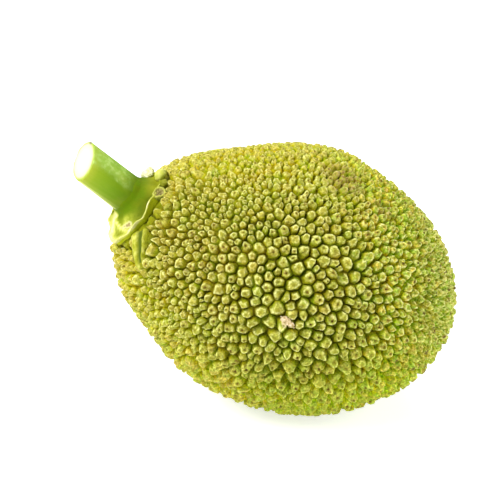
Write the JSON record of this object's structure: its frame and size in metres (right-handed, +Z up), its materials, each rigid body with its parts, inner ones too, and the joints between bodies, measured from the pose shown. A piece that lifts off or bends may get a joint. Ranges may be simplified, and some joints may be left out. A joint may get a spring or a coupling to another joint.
{
  "type": "jackfruit",
  "caption": "Whole ripe-green jackfruit lying on its side, knobbly rind, flared collar and short cut stalk, for still life, market and kitchen scenes.",
  "frame": {"origin": "middle of the small flat spot that the fruit rests on, on its underside", "axes": "+Z up, +X along the fruit to its blunt tip, -X to the stalk end"},
  "size_m": [0.2857, 0.2088, 0.2122],
  "materials": {
    "rind": "satin",
    "collar": "satin",
    "stalk": "satin"
  },
  "bodies": {
    "root": {"fruit": "rind", "collar": "collar", "stalk": "stalk"}
  },
  "joints": []
}
